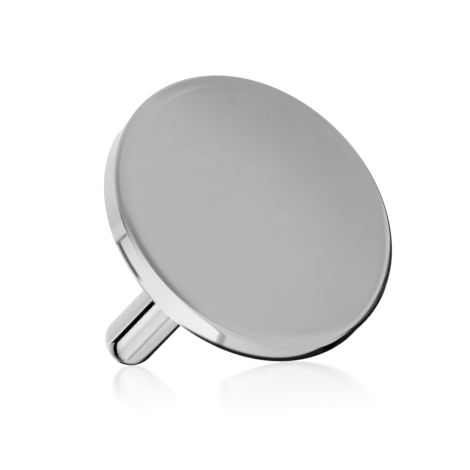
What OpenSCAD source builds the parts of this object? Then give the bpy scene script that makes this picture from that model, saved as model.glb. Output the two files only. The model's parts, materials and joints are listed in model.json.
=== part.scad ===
// A push-in top for a threadless labret: a round polished disc with a slotted pin behind it.
// Millimetres. The part lies as it rests by itself on a table: on the back of the disc's rim and on the pin's tip.
// The table is Z = 0, the disc faces -Y and upwards, and the pin points to +Y and down.

/* [Disc] */
// Width of the round disc
disc_d = 4.0; // [3.6:0.1:5]
// Thickness in the middle of the disc
disc_t = 0.42; // [0.4:0.01:0.6]
// Radius of the face's slight crown
crown_r = 75; // [50:5:150]
// Radius of the shoulder that polishing leaves round the face
shoulder_r = 1.2; // [0.8:0.1:1.6]
// Slope at which the shoulder ends and the edge starts
shoulder_turn = 11; // [6:1:14]
// Radius of the edge between the shoulder and the rim
face_edge_r = 0.065; // [0.04:0.005:0.09]
// Radius of the fine edge round the back
back_edge_r = 0.025; // [0.015:0.005:0.04]

/* [Pin] */
// Diameter of the pin
pin_d = 0.68; // [0.64:0.01:0.76]
// How far the pin stands out behind the disc, with its round tip
pin_reach = 3.53; // [3.2:0.01:4.2]
// Depth of the seat in the disc's back that holds the pin's root
seat_depth = 0.16; // [0.12:0.01:0.18]
// Gap round the root and under it, in its seat
seat_gap = 0.01; // [0.005:0.005:0.02]

/* [Slot in the pin] */
// Width of the slot
slot_w = 0.27; // [0.2:0.01:0.28]
// Height of the slot's flat floor over the middle of the pin
slot_floor = 0.205; // [0.18:0.005:0.23]
// Distance from the pin's middle plane to the middle of the slot
slot_offset = 0.13; // [0.08:0.01:0.14]
// Where the slot starts, behind the disc
slot_start = 0.5; // [0.3:0.05:1]
// Distance from the slot's round end to the end of the pin
slot_end_wall = 0.22; // [0.22:0.01:0.4]
// Turn of the slot round the pin, counted from the disc's right
slot_turn = 189; // [0:1:359]

/* [Hidden] */
$fn = 96;
// The crown is a small part of a large circle, which needs finer steps
crown_steps = 2880;
disc_r = disc_d / 2;
pin_r = pin_d / 2;
// Middle of the shoulder's arc in the profile, and the slope where the crown hands over to it
shoulder_x = disc_r - face_edge_r - (shoulder_r - face_edge_r) * sin(shoulder_turn);
crown_turn = asin(shoulder_x / (crown_r - shoulder_r));
shoulder_z = disc_t - crown_r + (crown_r - shoulder_r) * cos(crown_turn);
// Radii at which the crown and the shoulder end
crown_end = crown_r * sin(crown_turn);
shoulder_end = shoulder_x + shoulder_r * sin(shoulder_turn);
// Middle of the edge's arc
edge_x = disc_r - face_edge_r;
edge_z = shoulder_z + (shoulder_r - face_edge_r) * cos(shoulder_turn);
// Straight part of the pin, from the disc's back to the middle of its round tip
pin_straight = pin_reach - pin_r;
// Slope of the pin's axis when the rim's back edge and the round tip both touch the table
rest_run = pin_straight + back_edge_r;
rest_rise = disc_r - back_edge_r;
rest_tilt = atan2(rest_rise, rest_run) - asin((pin_r - back_edge_r) / norm([rest_run, rest_rise]));
// Lowest, foremost and rearmost reach of the tilted part, seen from the middle of the disc's back
low_z = -pin_straight * sin(rest_tilt) - pin_r;
front_y = -edge_z * cos(rest_tilt) - edge_x * sin(rest_tilt) - face_edge_r;
rear_y = pin_straight * cos(rest_tilt) + pin_r;

// Sets the part down on the table, with the middle of its box over the origin
module at_rest()
    translate([0, -(front_y + rear_y) / 2, -low_z])
        rotate([90 - rest_tilt, 0, 0])
            children();

// The part of an arc's disc between the back and the face, out to a given radius
module under_arc(x, z, r, out, steps)
    intersection() {
        translate([x, z]) circle(r, $fn = steps);
        square([out, disc_t]);
    }

// Half of the disc's outline, from its middle to its rim, back at the bottom
module disc_outline() {
    under_arc(0, disc_t - crown_r, crown_r, crown_end, crown_steps);
    under_arc(shoulder_x, shoulder_z, shoulder_r, shoulder_end, $fn);
    translate([edge_x, edge_z]) circle(face_edge_r);
    translate([0, back_edge_r]) square([disc_r, edge_z - back_edge_r]);
    square([disc_r - back_edge_r, edge_z]);
    translate([disc_r - back_edge_r, back_edge_r]) circle(back_edge_r);
}

// Room for the pin's root in the back of the disc
module seat()
    translate([0, 0, -disc_t])
        cylinder(r = pin_r + seat_gap, h = disc_t + seat_depth);

// Shallow slot along the pin, flat at the bottom and round at both ends
module slot() {
    first = slot_start + slot_w / 2;
    last = pin_reach - slot_end_wall - slot_w / 2;
    rotate([0, 0, slot_turn])
        translate([slot_floor, slot_offset, 0]) {
            translate([0, -slot_w / 2, -last]) cube([pin_r, slot_w, last - first]);
            for (end = [first, last])
                translate([0, 0, -end]) rotate([0, 90, 0]) cylinder(d = slot_w, h = pin_r);
        }
}

module disc()
    color("silver")
        at_rest()
            difference() {
                rotate_extrude() disc_outline();
                seat();
            }

module pin()
    color("lightsteelblue")
        at_rest()
            difference() {
                union() {
                    translate([0, 0, -pin_straight])
                        cylinder(r = pin_r, h = pin_straight + seat_depth - seat_gap);
                    translate([0, 0, -pin_straight]) sphere(pin_r);
                }
                slot();
            }

disc();
pin();
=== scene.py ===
import json
from math import asin, atan2, cos, hypot, pi, radians, sin

import bmesh
import bpy
from mathutils import Matrix, Vector


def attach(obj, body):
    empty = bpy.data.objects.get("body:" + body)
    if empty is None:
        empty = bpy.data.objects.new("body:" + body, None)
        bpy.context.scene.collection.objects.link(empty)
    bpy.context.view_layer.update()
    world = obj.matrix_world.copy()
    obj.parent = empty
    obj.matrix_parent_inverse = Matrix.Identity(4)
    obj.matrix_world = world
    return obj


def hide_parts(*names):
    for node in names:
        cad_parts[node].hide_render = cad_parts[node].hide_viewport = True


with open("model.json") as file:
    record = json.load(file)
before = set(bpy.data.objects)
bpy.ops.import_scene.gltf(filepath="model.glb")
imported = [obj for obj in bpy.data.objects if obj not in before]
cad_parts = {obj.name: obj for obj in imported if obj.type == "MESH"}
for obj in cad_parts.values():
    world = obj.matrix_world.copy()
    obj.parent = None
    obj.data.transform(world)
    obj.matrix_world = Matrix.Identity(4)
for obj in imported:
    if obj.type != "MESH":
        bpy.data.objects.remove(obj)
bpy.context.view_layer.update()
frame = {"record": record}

# The disc: a round plate of titanium, turned from bar, with a slightly crowned face and polished to a mirror.
# Polishing has left a soft shoulder round the face and a small round edge before the rim.
# Its back has a shallow round seat, into which the pin's root is pressed.
# Sizes are in millimetres, and the scene is in metres
MM = 0.001
pin_mount = next(m for m in frame["record"]["mounts"] if m["name"] == "pin")
out_of_back = Vector(pin_mount["axis"])
pin_r = pin_mount["dims"]["r_mm"]
pin_straight = pin_mount["dims"]["length_mm"]
back_middle = Vector(pin_mount["pos_m"]) - out_of_back * (pin_straight / 2 * MM)
across = Vector((1, 0, 0))
face_normal = -out_of_back
# Turns a piece made in millimetres, with the disc's back at z = 0 and the face up, to its place on the table
to_place = (
    Matrix.Translation(back_middle)
    @ Matrix((across, face_normal.cross(across), face_normal)).transposed().to_4x4()
    @ Matrix.Scale(MM, 4)
)

disc_r = 2.0
disc_t = 0.42
crown_r = 75.0
shoulder_r = 1.2
shoulder_turn = radians(11)
edge_r = 0.065
back_edge_r = 0.025
seat_depth = 0.16
seat_gap = 0.01
shoulder_x = disc_r - edge_r - (shoulder_r - edge_r) * sin(shoulder_turn)
crown_turn = asin(shoulder_x / (crown_r - shoulder_r))
shoulder_z = disc_t - crown_r + (crown_r - shoulder_r) * cos(crown_turn)
edge_x = disc_r - edge_r
edge_z = shoulder_z + (shoulder_r - edge_r) * cos(shoulder_turn)
seat_r = pin_r + seat_gap

# Each arc of the outline: its middle (out from the axis, height), its radius, the slopes where it starts
# and ends, and its steps
disc_arcs = {
    "Crown": (0, disc_t - crown_r, crown_r, 0, crown_turn, 36),
    "Shoulder": (shoulder_x, shoulder_z, shoulder_r, crown_turn, shoulder_turn, 14),
    "Edge": (edge_x, edge_z, edge_r, shoulder_turn, pi / 2, 14),
    "Back Edge": (disc_r - back_edge_r, back_edge_r, back_edge_r, pi / 2, pi, 8),
}
# Each straight of the outline: where it starts and where it ends (out from the axis, height), and its steps
disc_lines = {
    "Rim": (disc_r, edge_z, disc_r, back_edge_r, 4),
    "Back": (disc_r - back_edge_r, 0, seat_r, 0, 12),
    "Seat Wall": (seat_r, 0, seat_r, seat_depth, 3),
    "Seat Floor": (seat_r, seat_depth, 0, seat_depth, 6),
}


def feed(tree, socket, value):
    """Gives an input a plain value, or the output of another node."""
    if isinstance(value, bpy.types.NodeSocket):
        tree.links.new(value, socket)
    else:
        socket.default_value = value


def add_node(tree, kind, inputs, **settings):
    """Adds a node with its settings, and feeds the inputs that are named or numbered."""
    node = tree.nodes.new(kind)
    for setting, value in settings.items():
        setattr(node, setting, value)
    for socket, value in inputs.items():
        feed(tree, node.inputs[socket], value)
    return node


def combine(tree, a, b, operation="MULTIPLY"):
    """The product of two values or numbers, or their sum, their difference or the greater of them."""
    return add_node(tree, "ShaderNodeMath", {0: a, 1: b}, operation=operation).outputs["Value"]


def keep_result(piece, modifier):
    """Turns what a modifier shows into the piece's plain mesh, and takes the modifier off."""
    bpy.context.view_layer.update()
    evaluated = piece.evaluated_get(bpy.context.evaluated_depsgraph_get())
    result = bpy.data.meshes.new_from_object(evaluated)
    piece.modifiers.remove(modifier)
    piece.data = result
    result.name = piece.name
    return result


def turned_body(name, arcs, lines, steps_round, metal):
    """A lathe: sweeps each arc and straight of an outline round the axis, and welds them to one skin."""
    tree = bpy.data.node_groups.new(name + "_lathe", "GeometryNodeTree")
    tree.is_modifier = True
    tree.interface.new_socket(name="Geometry", in_out="OUTPUT", socket_type="NodeSocketGeometry")
    sizes = tree.nodes.new("NodeGroupInput")
    chosen = {}

    def size(label, value, kind="NodeSocketFloat"):
        socket = tree.interface.new_socket(name=label, in_out="INPUT", socket_type=kind)
        chosen[socket.identifier] = value
        return sizes.outputs[label]

    def point(label, out, height):
        place = {"X": size(label + " Out", out), "Y": size(label + " Height", height)}
        return add_node(tree, "ShaderNodeCombineXYZ", place).outputs["Vector"]

    def sweep(profile):
        round_axis = {"Curve": upright.outputs["Curve"], "Profile Curve": profile}
        strip = add_node(tree, "GeometryNodeCurveToMesh", round_axis)
        feed(tree, strips.inputs["Geometry"], strip.outputs["Mesh"])

    # The circle round the axis is so small that the points on it weld to one
    weld_gap = 0.0004
    circle_r = weld_gap / 100
    circle = add_node(tree, "GeometryNodeCurvePrimitiveCircle", {
        "Resolution": size("Steps Round", steps_round, "NodeSocketInt"),
        "Radius": circle_r,
    })
    upright = add_node(tree, "GeometryNodeSetCurveNormal", {"Curve": circle.outputs["Curve"]}, mode="Z_UP")
    strips = tree.nodes.new("GeometryNodeJoinGeometry")
    for label, (out, height, radius, start, end, steps) in arcs.items():
        begin = size(label + " Start", start)
        arc = add_node(tree, "GeometryNodeCurveArc", {
            "Resolution": steps + 1,
            "Radius": size(label + " Radius", radius),
            "Start Angle": combine(tree, pi / 2, begin, "SUBTRACT"),
            "Sweep Angle": combine(tree, begin, size(label + " End", end), "SUBTRACT"),
        })
        placed = add_node(tree, "GeometryNodeTransform", {
            "Geometry": arc.outputs["Curve"],
            "Translation": point(label, out, height),
        })
        sweep(placed.outputs["Geometry"])
    for label, (out, height, to_out, to_height, steps) in lines.items():
        line = add_node(tree, "GeometryNodeCurvePrimitiveLine", {
            "Start": point(label, out, height),
            "End": point(label + " To", to_out, to_height),
        })
        stepped = add_node(tree, "GeometryNodeResampleCurve", {
            "Curve": line.outputs["Curve"],
            "Count": steps + 1,
        })
        sweep(stepped.outputs["Curve"])
    welded = add_node(tree, "GeometryNodeMergeByDistance", {
        "Geometry": strips.outputs["Geometry"],
        "Distance": weld_gap,
    })
    face_up = add_node(tree, "GeometryNodeTransform", {
        "Geometry": welded.outputs["Geometry"],
        "Rotation": (pi, 0, 0),
    })
    real = add_node(tree, "GeometryNodeRealizeInstances", {"Geometry": face_up.outputs["Geometry"]})
    finished = add_node(tree, "GeometryNodeSetMaterial", {
        "Geometry": real.outputs["Geometry"],
        "Material": size("Metal", metal, "NodeSocketMaterial"),
    })
    add_node(tree, "NodeGroupOutput", {"Geometry": finished.outputs["Geometry"]})

    body = bpy.data.objects.new(name, bpy.data.meshes.new(name))
    bpy.context.scene.collection.objects.link(body)
    lathe = body.modifiers.new("lathe", "NODES")
    lathe.node_group = tree
    for identifier, value in chosen.items():
        lathe[identifier] = value
    skin = keep_result(body, lathe)
    work = bmesh.new()
    work.from_mesh(skin)
    bmesh.ops.recalc_face_normals(work, faces=work.faces)
    work.to_mesh(skin)
    work.free()
    return body


def fine_metal(name):
    """The start of a metal finish: its nodes, its shader and the piece's own coordinates in millimetres."""
    metal = bpy.data.materials.new(name)
    metal.use_nodes = True
    tree = metal.node_tree
    shader = tree.nodes["Principled BSDF"]
    shader.inputs["Metallic"].default_value = 1
    place = tree.nodes.new("ShaderNodeTexCoord")
    on_piece = add_node(tree, "ShaderNodeMapping", {
        "Vector": place.outputs["Object"],
        "Location": back_middle,
        "Rotation": to_place.to_3x3().normalized().to_euler(),
        "Scale": (MM, MM, MM),
    }, vector_type="TEXTURE")
    return metal, tree, shader, on_piece.outputs["Vector"]


def along(tree, place, direction):
    """How far a place lies along a direction."""
    reach = add_node(tree, "ShaderNodeVectorMath", {0: place, 1: direction}, operation="DOT_PRODUCT")
    return reach.outputs["Value"]


def out_from_axis(tree, place):
    """How far a place lies out from the axis of the lathe."""
    flat = add_node(tree, "ShaderNodeVectorMath", {0: place, 1: (1, 1, 0)}, operation="MULTIPLY")
    reach = add_node(tree, "ShaderNodeVectorMath", {0: flat.outputs["Vector"]}, operation="LENGTH")
    return reach.outputs["Value"]


def spread(tree, value, low, high, at_low, at_high, kind="LINEAR"):
    """Goes from one number to another as a value goes from low to high, and stays level outside them."""
    change = add_node(tree, "ShaderNodeMapRange", {
        "Value": value,
        "From Min": low,
        "From Max": high,
        "To Min": at_low,
        "To Max": at_high,
    }, interpolation_type=kind)
    return change.outputs["Result"]


def where_all(tree, edges, kind="LINEAR"):
    """1 where every value has passed its edge, and 0 where one hasn't. Each row of the edges holds a value,
    where its edge starts to show and where it is full."""
    shares = [spread(tree, value, start, full, 0, 1, kind) for value, start, full in edges]
    product = shares[0]
    for share in shares[1:]:
        product = combine(tree, product, share)
    return product


def cloud(tree, place, per_mm, detail, at_low, at_high):
    """Soft irregular patches, so many to the millimetre, that go from one number to another."""
    noise = add_node(tree, "ShaderNodeTexNoise", {"Vector": place, "Scale": per_mm, "Detail": detail})
    faint, strong = 0.35, 0.65
    return spread(tree, noise.outputs["Fac"], faint, strong, at_low, at_high)


def tool_lines(tree, distance, per_mm):
    """Fine lines of uneven depth, at right angles to the way a distance grows."""
    lines = {"W": distance, "Scale": per_mm, "Detail": 3}
    return add_node(tree, "ShaderNodeTexNoise", lines, noise_dimensions="1D").outputs["Fac"]


def tint(tree, share, before, after):
    """Goes over from one colour to another with a share."""
    mix = add_node(tree, "ShaderNodeMix", {"Factor": share}, data_type="RGBA")
    colours = [socket for socket in mix.inputs if socket.type == "RGBA"]
    for socket, colour in zip(colours, (before, after)):
        feed(tree, socket, colour)
    return next(socket for socket in mix.outputs if socket.type == "RGBA")


def relief(tree, shader, height, depth):
    """Lets a height between 0 and 1 roughen the surface to a depth in millimetres."""
    bump = add_node(tree, "ShaderNodeBump", {"Strength": 1, "Distance": depth * MM, "Height": height})
    feed(tree, shader.inputs["Normal"], bump.outputs["Normal"])


mirror_grey = (0.768, 0.775, 0.791, 1)
mirror_pale = (0.788, 0.791, 0.800, 1)
# The next two greys are painted dark reflections on the rim, not the metal's own colour
painted_rim_line_grey = (0.13, 0.13, 0.135, 1)
painted_back_line_grey = (0.46, 0.465, 0.475, 1)

polished, tree, shader, on_piece = fine_metal("polished_titanium")
x = along(tree, on_piece, (1, 0, 0))
y = along(tree, on_piece, (0, 1, 0))
height = along(tree, on_piece, (0, 0, 1))
out = out_from_axis(tree, on_piece)
metal_tint = tint(tree, cloud(tree, on_piece, per_mm=1.1, detail=2, at_low=0, at_high=1),
                  mirror_grey, mirror_pale)
# A short line of painted dark reflection, as a bevel at the back would mirror, lies low on the rim, near the
# back edge
painted_rim_line = where_all(tree, (
    (x, -1.5, -1.6),
    (y, -0.19, -0.23),
    (y, -0.80, -0.68),
    (height, 0.042, 0.070),
    (height, 0.138, 0.106),
))
metal_tint = tint(tree, painted_rim_line, metal_tint, painted_rim_line_grey)
# The painted dark reflection runs on for a little way as a fainter line along the back edge
painted_back_line = where_all(tree, (
    (x, -1.5, -1.6),
    (y, -0.70, -0.78),
    (y, -1.10, -1.04),
    (out, 1.94, 1.97),
    (height, 0.055, 0.035),
))
metal_tint = tint(tree, painted_back_line, metal_tint, painted_back_line_grey)
feed(tree, shader.inputs["Base Color"], metal_tint)
feed(tree, shader.inputs["Roughness"],
     cloud(tree, on_piece, per_mm=6, detail=4, at_low=0.07, at_high=0.11))
# The back keeps the rings of the lathe, and on the face and the rim the polish leaves hardly a trace of them
polish_start = 0.03
rings_left = 0.04
ring_share = spread(tree, height, 0, polish_start, 1, rings_left)
rings = tool_lines(tree, out, per_mm=30)
relief(tree, shader, combine(tree, rings, ring_share), depth=0.0006)

disc = turned_body("polished_disc", disc_arcs, disc_lines, steps_round=256, metal=polished)


def shade_by_outline(piece, arcs, lines):
    """Gives every corner the true slope of the turned outline, so that reflections run clean."""
    near = 0.0006
    slope_slack = 0.001
    shortest = 0.5
    least_likeness = 0.5
    mesh = piece.data
    mesh.shade_smooth()
    corner_normals = []
    for face in mesh.polygons:
        for corner in face.loop_indices:
            spot = mesh.vertices[mesh.loops[corner].vertex_index].co
            out = hypot(spot.x, spot.y)
            slopes = []
            for middle, height, radius, start, end, steps in arcs.values():
                dx, dz = out - middle, spot.z - height
                slope = atan2(dx, dz)
                on_arc = abs(hypot(dx, dz) - radius) < near
                if on_arc and start - slope_slack < slope < end + slope_slack:
                    slopes.append((sin(slope), cos(slope)))
            for start_out, start_height, end_out, end_height, steps in lines.values():
                run, rise = end_out - start_out, end_height - start_height
                dx, dz = out - start_out, spot.z - start_height
                long = hypot(run, rise)
                off = abs(dx * rise - dz * run) / long
                if off < near and -near < (dx * run + dz * rise) / long < long + near:
                    slopes.append((-rise / long, run / long))
            outwards = Vector((spot.x, spot.y, 0)).normalized() if out > near else Vector((0, 0, 0))
            best = face.normal
            likeness = least_likeness
            for side, up in slopes:
                normal = outwards * side + Vector((0, 0, up))
                if normal.length > shortest and normal.normalized().dot(face.normal) > likeness:
                    best = normal.normalized()
                    likeness = best.dot(face.normal)
            corner_normals.append(best)
    return corner_normals


def set_down(piece, corner_normals):
    """Moves the finished mesh to its place on the table, with its corner normals."""
    piece.data.transform(to_place)
    turn = to_place.to_3x3().normalized()
    piece.data.normals_split_custom_set([(turn @ n).normalized() for n in corner_normals])
    piece.data.update()


set_down(disc, shade_by_outline(disc, disc_arcs, disc_lines))
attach(disc, "root")
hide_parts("disc")

# The pin: a straight titanium pin with a round tip, turned and left satin, and pressed into the disc's back.
# A shallow slot with round ends is milled along one side, a little off the middle.
pin_root = seat_depth - seat_gap
slot_w = 0.27
slot_floor = 0.205
slot_offset = 0.13
slot_start = 0.5
slot_end_wall = 0.22
slot_turn = radians(189)
slot_right = slot_offset + slot_w / 2
# The middles of its round ends, down the pin from the disc's back
slot_first = slot_start + slot_w / 2
slot_last = pin_straight + pin_r - slot_end_wall - slot_w / 2
# The ways out of the slot and across it, to the right as the photograph shows it
out_of_slot = Vector((cos(slot_turn), sin(slot_turn), 0))
across_slot = Vector((-sin(slot_turn), cos(slot_turn), 0))

pin_arcs = {"Tip": (0, -pin_straight, pin_r, pi / 2, pi, 40)}
pin_lines = {
    "Root": (0, pin_root, pin_r, pin_root, 4),
    "Wall": (pin_r, pin_root, pin_r, -pin_straight, 60),
}

satin_grey = (0.745, 0.765, 0.765, 1)
satin_pale = (0.755, 0.758, 0.775, 1)
# The floor's pale is painted light, set against the shade of the slot's dark wall
floor_painted_light = (0.975, 0.985, 0.995, 1)
floor_grey = (0.475, 0.480, 0.492, 1)
# The grey of a painted dark reflection along the slot's right edge
painted_edge_line_grey = (0.50, 0.51, 0.52, 1)
# Black that stands in for the shade in the slot, not the metal's own colour
painted_shade_black = (0.002, 0.002, 0.002, 1)


def marked(tree, name):
    """What the faces of a piece are marked with under a name."""
    return add_node(tree, "ShaderNodeAttribute", {}, attribute_name=name).outputs["Fac"]


turned, tree, shader, on_piece = fine_metal("turned_titanium")
height = along(tree, on_piece, (0, 0, 1))
height_in_slot = along(tree, on_piece, out_of_slot)
right_in_slot = along(tree, on_piece, across_slot)
metal_tint = tint(tree, cloud(tree, on_piece, per_mm=3, detail=3, at_low=0, at_high=1),
                  satin_grey, satin_pale)
# The slot's floor is a matt cut, painted paler by its left wall to offset the shade that the dark wall throws
# there, and greyer towards the right
on_floor = marked(tree, "slot_floor")
floor_tint_with_painted_light = tint(tree, spread(tree, right_in_slot, 0.02, 0.115, 0, 1), floor_painted_light, floor_grey)
metal_tint = tint(tree, on_floor, metal_tint, floor_tint_with_painted_light)
# A thin grey line of painted dark reflection, as a rounded edge would show, follows the slot's right edge
painted_edge_line = where_all(tree, (
    (right_in_slot, slot_right - 0.002, slot_right + 0.002),
    (right_in_slot, slot_right + 0.023, slot_right + 0.016),
    (height_in_slot, 0.1, 0.12),
    (height, -slot_start, -slot_start - 0.05),
    (height, -pin_straight - 0.01, -pin_straight + 0.03),
))
metal_tint = tint(tree, painted_edge_line, metal_tint, painted_edge_line_grey)
# The slot's walls are painted black with shade all over, but at the round end by the tip only the foot of the
# wall
near_mouth = spread(tree, height_in_slot, 0.25, 0.28, 0, 1)
painted_shade_share = combine(tree, marked(tree, "slot_wall"), near_mouth, "SUBTRACT")
feed(tree, shader.inputs["Base Color"], tint(tree, painted_shade_share, metal_tint, painted_shade_black))
matt_share = combine(tree, painted_shade_share, on_floor, "MAXIMUM")
feed(tree, shader.inputs["Metallic"], spread(tree, matt_share, 0, 1, 1, 0))
feed(tree, shader.inputs["Specular IOR Level"], spread(tree, matt_share, 0, 1, 0.5, 0))
feed(tree, shader.inputs["Roughness"],
     cloud(tree, on_piece, per_mm=9, detail=4, at_low=0.09, at_high=0.14))
relief(tree, shader, tool_lines(tree, height, per_mm=45), depth=0.00012)

pin = turned_body("slotted_pin", pin_arcs, pin_lines, steps_round=192, metal=turned)


def mill_slot(piece, metal):
    """Cuts the slot with a cutter of its own width, as a mill does, and leaves its mouth sharp."""
    steps = 48
    cutter_top = 2 * pin_r
    outline = []
    for end, side in ((-slot_first, slot_w / 2), (-slot_last, -slot_w / 2)):
        for step in range(steps + 1):
            turn = pi * step / steps
            outline.append((slot_offset + side * cos(turn), end + side * sin(turn)))
    work = bmesh.new()
    low = [work.verts.new((slot_floor, wide, long)) for wide, long in outline]
    high = [work.verts.new((cutter_top, wide, long)) for wide, long in outline]
    for i in range(len(outline)):
        j = (i + 1) % len(outline)
        work.faces.new((low[i], low[j], high[j], high[i]))
    work.faces.new(low)
    work.faces.new(high)
    bmesh.ops.recalc_face_normals(work, faces=work.faces)
    bmesh.ops.transform(work, matrix=Matrix.Rotation(slot_turn, 4, "Z"), verts=work.verts)
    cutter_mesh = bpy.data.meshes.new("slot_cutter")
    work.to_mesh(cutter_mesh)
    work.free()
    cutter = bpy.data.objects.new("slot_cutter", cutter_mesh)
    bpy.context.scene.collection.objects.link(cutter)
    cut = piece.modifiers.new("slot", "BOOLEAN")
    cut.operation = "DIFFERENCE"
    cut.solver = "EXACT"
    cut.object = cutter
    result = keep_result(piece, cut)
    result.materials.clear()
    result.materials.append(metal)
    for face in result.polygons:
        face.material_index = 0
    bpy.data.objects.remove(cutter)


def mark_slot(piece):
    """Marks the slot's faces: how much painted shade its walls carry, and where it is pale and matt."""
    near = 0.001
    flat = 0.99
    standing = 0.05
    clear_of_side = pin_r - 0.04
    # A wall marked 2 is painted black with shade up to the mouth, and one marked about 1 only at the foot,
    # with more shade at the left
    wall_mark = 2
    end_mark, least_end_mark, more_at_left = 0.95, 0.8, 0.4
    wall_marks = piece.data.attributes.new("slot_wall", "FLOAT", "FACE")
    floor_marks = piece.data.attributes.new("slot_floor", "FLOAT", "FACE")
    for face in piece.data.polygons:
        down_pin = -face.center.z
        if down_pin < slot_start or abs(face.center.dot(across_slot)) > clear_of_side:
            continue
        facing_out = face.normal.dot(out_of_slot)
        if abs(face.center.dot(out_of_slot) - slot_floor) < near and facing_out > flat:
            floor_marks.data[face.index].value = 1
        # The wall of the round end by the tip: painted shade at its foot, and above it pale and matt like the
        # floor
        elif abs(facing_out) < standing and down_pin > slot_last:
            at_left = face.normal.dot(across_slot)
            wall_marks.data[face.index].value = max(least_end_mark, end_mark + more_at_left * at_left)
            floor_marks.data[face.index].value = 1
        elif abs(facing_out) < standing:
            wall_marks.data[face.index].value = wall_mark


mill_slot(pin, turned)
mark_slot(pin)
set_down(pin, shade_by_outline(pin, pin_arcs, pin_lines))
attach(pin, "root")
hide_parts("pin")

# The camera: a long lens just above the table, well to the left of straight in front of the disc.
# It is rolled a little about its own axis, as the photograph is.
camera_turn = radians(-32.457)
camera_rise = radians(0.3)
camera_roll = radians(2.98)
camera_far = 150
pixels_per_mm = 77.866
frame_side = 470
sensor_side = 36
# Where the middle of the disc's back would lie in the frame, in pixels from the left and the top
aim_x, aim_y = 242.44, 224.12
back_way = Vector((
    sin(camera_turn) * cos(camera_rise),
    -cos(camera_turn) * cos(camera_rise),
    sin(camera_rise),
))
level = Vector((cos(camera_turn), sin(camera_turn), 0))
upright = back_way.cross(level)
right_way = level * cos(camera_roll) - upright * sin(camera_roll)
up_way = level * sin(camera_roll) + upright * cos(camera_roll)
lens = bpy.data.cameras.new("camera")
lens.sensor_width = sensor_side
lens.lens = pixels_per_mm * camera_far * sensor_side / frame_side
lens.clip_start = 1 * MM
lens.clip_end = 2000 * MM
camera = bpy.data.objects.new("camera", lens)
bpy.context.scene.collection.objects.link(camera)
eye = back_middle + back_way * camera_far * MM
eye -= right_way * (aim_x - frame_side / 2) / pixels_per_mm * MM
eye -= up_way * (frame_side / 2 - aim_y) / pixels_per_mm * MM
camera.matrix_world = Matrix.Translation(eye) @ Matrix((right_way, up_way, back_way)).transposed().to_4x4()
bpy.context.scene.camera = camera

# The table: a plain white sheet with a slight gloss, on which the part rests.
# To the metal it glows with painted light and shade: a grey sheet with a fold and a dark edge, and painted
# shade beside and behind the part.
white = (1, 1, 1, 1)
table_r = 400
table_steps = 128
table_drop = 0.001
by_part_level = 1.03
far_left_level = 0.79
far_left = -10
matt_gain = 0.5
paper_level = 1.06
gloss_roughness = 0.06
gloss_at_part = 0.3
gloss_end = 55
floor_mesh = bpy.data.meshes.new("table_top")
work = bmesh.new()
bmesh.ops.create_circle(work, cap_ends=True, segments=table_steps, radius=table_r * MM)
work.to_mesh(floor_mesh)
work.free()
floor_mesh.transform(Matrix.Translation((0, 0, -table_drop * MM)))
floor = bpy.data.objects.new("table_top", floor_mesh)
bpy.context.scene.collection.objects.link(floor)

sheet = bpy.data.materials.new("white_sheet")
sheet.use_nodes = True
tree = sheet.node_tree
tree.nodes.clear()
on_table = tree.nodes.new("ShaderNodeTexCoord").outputs["Object"]


def from_spot(right, behind):
    """How far the table lies from a spot to the right of the part and behind it, in millimetres."""
    spot = (level * right - back_way * behind) * MM
    ends = {0: on_table, 1: (spot.x, spot.y, 0)}
    gap = add_node(tree, "ShaderNodeVectorMath", ends, operation="DISTANCE")
    return combine(tree, gap.outputs["Value"], 1 / MM)


def graded(shade, share, change):
    """Makes a shade brighter or darker by a part of itself, as far as a share goes."""
    return combine(tree, shade, combine(tree, 1, combine(tree, change, share), "ADD"))


def mix_shader(tree, share, before, after):
    """Goes over from one shader to another with a share."""
    ends = {"Fac": share, 1: before.outputs[0], 2: after.outputs[0]}
    return add_node(tree, "ShaderNodeMixShader", ends)


# The ways across the table, in millimetres from the part: to the right, to the front, and aslant to both
to_right = along(tree, on_table, level / MM)
to_front = along(tree, on_table, back_way / MM)
slant = 0.72
aslant = along(tree, on_table, (level * slant + back_way) / MM)
from_part = from_spot(0, 0)
# The shade under the rim follows an arc round this spot
from_arc = from_spot(-0.435, 1.05)
# The patches of painted light and shade on the mirrored sheet: how much brighter or darker each is, and a row
# for each soft edge
sheet_patches = {
    "Lit Front": (0.07, ((to_right, -1.7, -0.8), (to_front, 0.2, 0.8))),
    "Right Of Fold": (-0.28, ((to_right, 0, 0.14),)),
    "Far Right": (-0.2, ((to_right, 0.14, 1.2),)),
    "Fold": (-0.45, ((to_right, -0.02, 0.06), (to_right, 0.18, 0.10), (to_front, 0.5, 1.2))),
    "Shade Of Pin": (-0.32, ((from_spot(-0.1, 1.95), 1.6, 0.8),)),
    "Edge Of Sheet": (-0.8, ((from_part, 14, 15.5), (from_part, 19, 16.5), (to_right, -8, -12))),
    "Cloth Beside": (-0.98, ((to_right, 1.45, 1.6), (aslant, -0.9, -0.2), (to_front, 1.42, 1.28))),
    "Cloth Behind": (-0.98, (
        (to_right, -1.3, -1.15), (to_right, 0.3, 0),
        (to_front, -8, -5), (to_front, -1.42, -1.52),
    )),
    "Shade Under Rim": (-0.98, (
        (from_arc, 3.12, 3.085), (from_arc, 2.8, 2.85),
        (to_right, -0.9, -0.6), (to_front, 0, 0.4),
    )),
}
shade = spread(tree, to_right, far_left, 0, far_left_level, by_part_level)
for change, edges in sheet_patches.values():
    shade = graded(shade, where_all(tree, edges, "SMOOTHSTEP"), change)
# It lights the slot's matt floor more strongly than the metal mirrors it
seen = tree.nodes.new("ShaderNodeLightPath").outputs
shade = graded(shade, seen["Is Diffuse Ray"], matt_gain)
mirrored = add_node(tree, "ShaderNodeEmission", {"Color": white, "Strength": shade})
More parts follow.
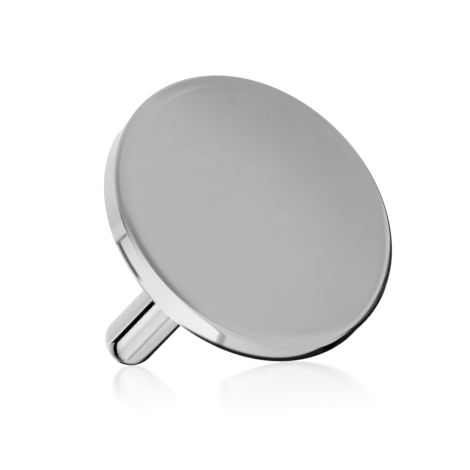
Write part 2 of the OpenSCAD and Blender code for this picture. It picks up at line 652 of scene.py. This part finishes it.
# To the camera it is white, with a faint reflection that fades away to the front
paper = add_node(tree, "ShaderNodeEmission", {"Color": white, "Strength": paper_level})
gloss = add_node(tree, "ShaderNodeBsdfGlossy", {"Color": white, "Roughness": gloss_roughness})
gloss_share = spread(tree, to_front, 0, gloss_end, gloss_at_part, 0, "SMOOTHSTEP")
look = mix_shader(tree, seen["Is Camera Ray"], mirrored, mix_shader(tree, gloss_share, paper, gloss))
add_node(tree, "ShaderNodeOutputMaterial", {"Surface": look.outputs["Shader"]})
floor_mesh.materials.append(sheet)

# The light: a grey studio tent round the table, with the paler and darker cards and openings
# that the metal mirrors. To the camera it is a white backdrop.
bpy.context.scene.view_settings.view_transform = "Standard"
tent = bpy.data.worlds.new("studio_tent")
bpy.context.scene.world = tent
tent.use_nodes = True
tree = tent.node_tree
tree.nodes.clear()
way_out = tree.nodes.new("ShaderNodeTexCoord").outputs["Generated"]
tent_level = 0.6
matt_level = 2.2
backdrop_level = 1.05
# Each card: how far round to the right from the camera and how far up its middle is, the angles from there
# at which it is full and at which it ends, and its level. A later card hangs in front of an earlier one.
cards = {
    "Large Side Behind Right": (119.65, 23.53, 36, 38, 0.48),
    "Paler Spot At Its Edge": (79.7, 36.4, 3.2, 4.9, 0.53),
    "Grey Spot Above That": (84.6, 45.5, 2.0, 4.2, 0.43),
    "Paler Middle": (127, 23, 1, 26, 0.62),
    "Grey Top": (104, 54, 8, 15, 0.445),
    "Pale Hem Of Opening": (99.55, 0.92, 30.7, 35, 0.76),
    "Dark Opening At Right": (99.55, 0.92, 29.3, 30.7, 0.02),
    "Pale Side Front Right": (58, 12, 22.8, 25, 0.65),
    "Bright Low Behind Left": (-145, -17, 23, 36, 1.07),
    "Dark Over Camera": (-21, 23, 22, 80, 0.34),
    "Dark High Front Right": (44, 40, 5, 13, 0.27),
    "Bright Low Front": (-4, -34, 17, 80, 1.25),
    "Pale Low Behind Left": (-155, -16, 28, 34, 0.86),
    "Dark Left": (-91, 2, 2, 20, 0.11),
    "Dark Opening Behind Right": (122, 0, 26, 33, 0.02),
    "Bright Behind": (180, 3, 8, 17, 1.2),
    "Dark Top Of Opening": (90, 17, 8, 10.5, 0.08),
}
card_level = tent_level
for *angles, strength in cards.values():
    turn, rise, full, end = (radians(angle) for angle in angles)
    middle = level * sin(turn) * cos(rise) + upright * sin(rise) + back_way * cos(turn) * cos(rise)
    nearness = along(tree, way_out, middle.normalized())
    card_level = spread(tree, nearness, cos(end), cos(full), card_level, strength, "SMOOTHSTEP")
in_metal = add_node(tree, "ShaderNodeBackground", {"Color": white, "Strength": card_level})
on_matt = add_node(tree, "ShaderNodeBackground", {"Color": white, "Strength": matt_level})
backdrop = add_node(tree, "ShaderNodeBackground", {"Color": white, "Strength": backdrop_level})
seen = tree.nodes.new("ShaderNodeLightPath").outputs
light = mix_shader(tree, seen["Is Diffuse Ray"], in_metal, on_matt)
look = mix_shader(tree, seen["Is Camera Ray"], light, backdrop)
add_node(tree, "ShaderNodeOutputWorld", {"Surface": look.outputs["Shader"]})
